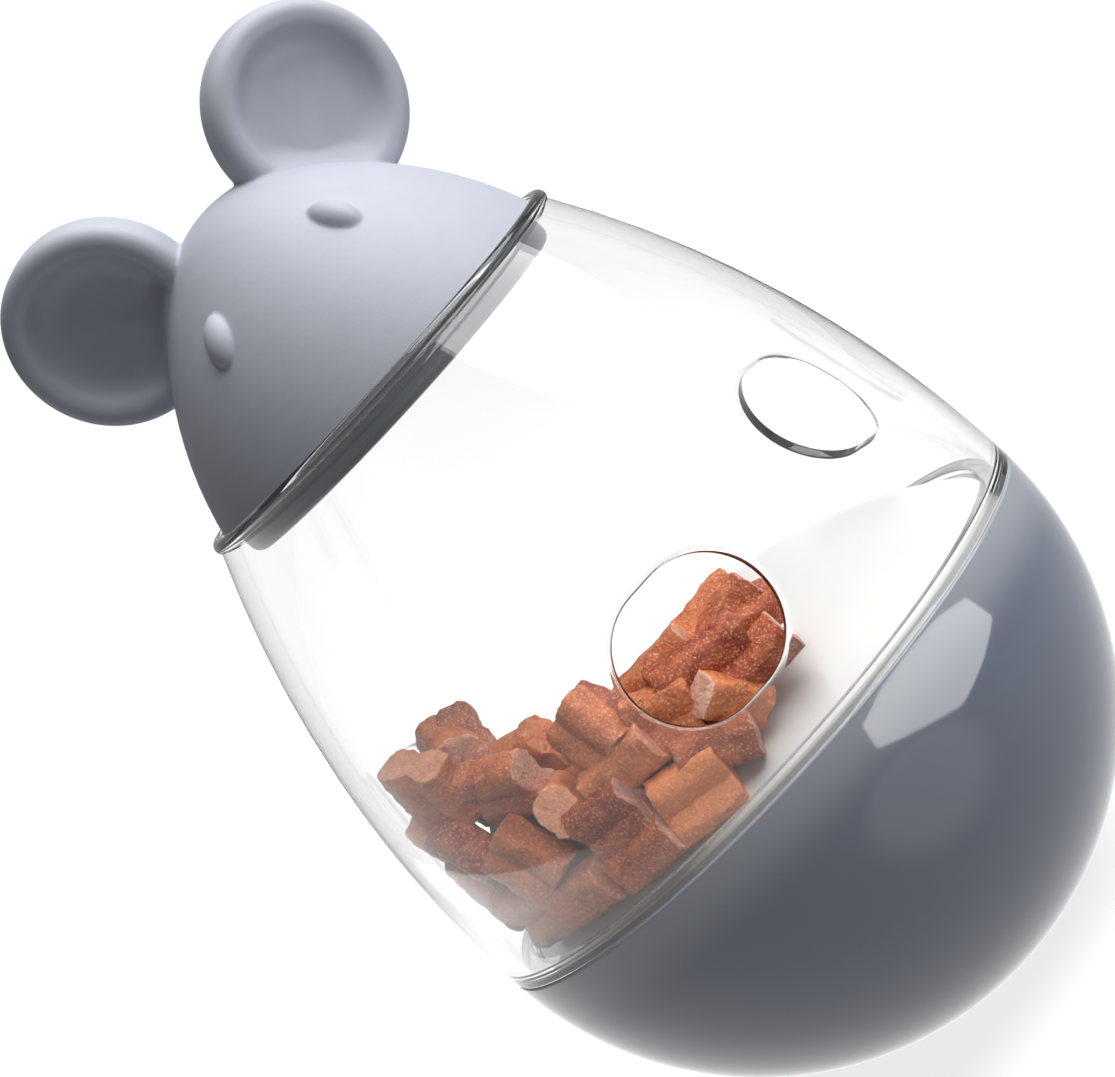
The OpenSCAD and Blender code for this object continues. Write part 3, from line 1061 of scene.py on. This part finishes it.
def world():
    """White to the eye, with a dimmer ceiling through clear walls, and a plain grey room in gloss."""
    made = bpy.data.worlds.new("studio")
    made.use_nodes = True
    tree = made.node_tree
    tree.nodes.clear()
    output = add(tree, "ShaderNodeOutputWorld")
    way = add(tree, "ShaderNodeTexCoord").outputs["Generated"]
    high = add(tree, "ShaderNodeSeparateXYZ", {"Vector": way}).outputs["Z"]
    ceiling = add(
        tree,
        "ShaderNodeMapRange",
        {
            "Value": high,
            "From Min": CEILING_FROM,
            "From Max": CEILING_TO,
            "To Min": 1.0,
            "To Max": CEILING,
        },
        interpolation_type="SMOOTHSTEP",
    )
    white = srgb("#FFFFFF")
    lit = add(tree, "ShaderNodeBackground", {"Color": white, "Strength": ROOM_LIGHT})
    room = add(tree, "ShaderNodeBackground", {"Color": white, "Strength": ROOM_GLOSS})
    through = add(tree, "ShaderNodeBackground", {"Color": white, "Strength": ceiling.outputs["Result"]})
    seen = add(tree, "ShaderNodeBackground", {"Color": white, "Strength": 1.0})
    shown = (("Is Glossy Ray", room), ("Is Transmission Ray", through), ("Is Camera Ray", seen))
    by_ray(tree, output, lit, shown)
    bpy.context.scene.world = made


def round_lamp(name, at, towards, size, brightness):
    """Round soft lamp; brightness is that of its face, with 1 for white paper."""
    lamp = bpy.data.lights.new(name, "AREA")
    lamp.shape = "DISK"
    lamp.size = size * MM
    lamp.energy = brightness * math.pi * math.pi * (size * MM / 2) ** 2
    obj = bpy.data.objects.new(name, lamp)
    bpy.context.scene.collection.objects.link(obj)
    obj.location = at * MM
    obj.rotation_euler = (towards - at).to_track_quat("-Z", "Y").to_euler()
    obj.visible_camera = False
    return obj


def gloss_card(name, x, y, size, brightness, soft):
    """Eight-sided bright card on the floor that shows in gloss alone and fades out towards its edge."""
    material, tree, output = blank(name)
    place = add(tree, "ShaderNodeTexCoord").outputs["Object"]
    away = add(tree, "ShaderNodeVectorMath", {0: place}, operation="LENGTH")
    level = add(
        tree,
        "ShaderNodeMapRange",
        {
            "Value": away.outputs["Value"],
            "From Min": (1 - soft) * size / 2 * MM,
            "From Max": size / 2 * MM,
            "To Min": brightness,
            "To Max": 0.0,
        },
        interpolation_type="SMOOTHSTEP",
    )
    face = add(tree, "ShaderNodeEmission", {"Strength": level.outputs["Result"]})
    open_way = add(tree, "ShaderNodeBsdfTransparent")
    both = add(tree, "ShaderNodeAddShader", {0: face.outputs[0], 1: open_way.outputs[0]})
    tree.links.new(both.outputs[0], output.inputs["Surface"])
    bm = bmesh.new()
    bmesh.ops.create_circle(bm, cap_ends=True, segments=8, radius=size / 2 * MM)
    mesh = bpy.data.meshes.new(name)
    bm.to_mesh(mesh)
    bm.free()
    mesh.materials.append(material)
    obj = bpy.data.objects.new(name, mesh)
    bpy.context.scene.collection.objects.link(obj)
    obj.location = Vector((x, y, CARD_Z)) * MM
    obj.visible_camera = False
    obj.visible_diffuse = False
    obj.visible_transmission = False
    obj.visible_shadow = False


AIM = Vector((0, 0, 60))
KEY_WAY = Vector((0.64, -0.11, 0.76))
KEY_AWAY = 700
KEY_SIZE = 840
KEY_BRIGHT = 4.7
# The treats lie in shade behind the wall; a lamp of their own shows them as bright as the photo does.
TREAT_AIM = Vector((-8, -15, 46))
TREAT_LAMP = Vector((40, -450, 260))
TREAT_LAMP_SIZE = 260
TREAT_BRIGHT = 6.5
# Cards for the highlights: name, place, size, brightness, and the share of the radius that fades out.
CARD_Z = 1
CARDS = (
    ("base_highlight", 88, -100, 124, 5.5, 0.02),
    ("base_low_highlight", 17, -60, 52, 0.6, 0.4),
    ("left_floor_glow", -900, 200, 1400, 1.8, 0.4),
)

floor()
world()
round_lamp("key_softbox", AIM + KEY_AWAY * KEY_WAY, AIM, KEY_SIZE, KEY_BRIGHT)
treat_softbox = round_lamp("treat_softbox", TREAT_LAMP, TREAT_AIM, TREAT_LAMP_SIZE, TREAT_BRIGHT)
lit_treats = bpy.data.collections.new("lit_treats")
lit_treats.objects.link(bpy.data.objects["treats"])
treat_softbox.light_linking.receiver_collection = lit_treats
for card in CARDS:
    gloss_card(*card)


# Camera: the toy leans in the picture, so the camera is rolled about its line of sight
CAMERA_AT = Vector((0, -412.03, 110.0))
CAMERA_AIM = Vector((-0.38, 0, 62.18))
CAMERA_ROLL = 47.5
LENS = 134.83
SENSOR = 36
CLIP = (0.01, 50)


def camera():
    """The camera, placed to see the toy as the photo does."""
    data = bpy.data.cameras.new("camera")
    data.lens = LENS
    data.sensor_fit = "HORIZONTAL"
    data.sensor_width = SENSOR
    data.clip_start, data.clip_end = CLIP
    obj = bpy.data.objects.new("camera", data)
    bpy.context.scene.collection.objects.link(obj)
    roll = math.radians(CAMERA_ROLL)
    back = (CAMERA_AT - CAMERA_AIM).normalized()
    up = Vector((math.sin(roll), 0, math.cos(roll)))
    right = up.cross(back).normalized()
    up = back.cross(right)
    turn = Matrix((right, up, back)).transposed().to_4x4()
    obj.matrix_world = Matrix.Translation(CAMERA_AT * MM) @ turn
    bpy.context.scene.camera = obj


camera()
bpy.context.scene.view_settings.view_transform = "Standard"
